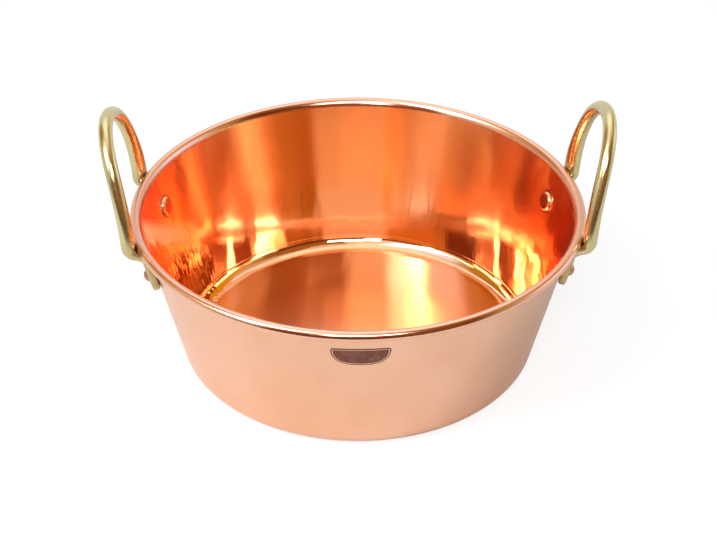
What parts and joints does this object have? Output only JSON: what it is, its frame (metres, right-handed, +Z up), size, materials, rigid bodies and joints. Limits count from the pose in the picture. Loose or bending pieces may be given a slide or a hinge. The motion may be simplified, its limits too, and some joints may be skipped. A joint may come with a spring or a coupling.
{
  "type": "preserving pan",
  "caption": "Round sheet-copper preserving pan with a flat floor, sloping wall and rolled rim, with upright brass loop handles riveted outside.",
  "frame": {"origin": "centre of the flat underside that the pan rests on", "axes": "+Z up; the two handles stand at +X and -X; -Y is the front"},
  "size_m": [0.3966, 0.3598, 0.2131],
  "materials": {
    "copper_sheet": "copper, polished inside, satin outside",
    "steel_wire": "drawn",
    "cast_brass": "polished",
    "copper_rivet": "hammered and polished copper"
  },
  "bodies": {
    "root": {"pan_body": "copper_sheet", "rim_wire": "steel_wire", "left_handle": "cast_brass", "right_handle": "cast_brass", "left_front_rivet": "copper_rivet", "left_rear_rivet": "copper_rivet", "right_front_rivet": "copper_rivet", "right_rear_rivet": "copper_rivet"}
  },
  "joints": []
}
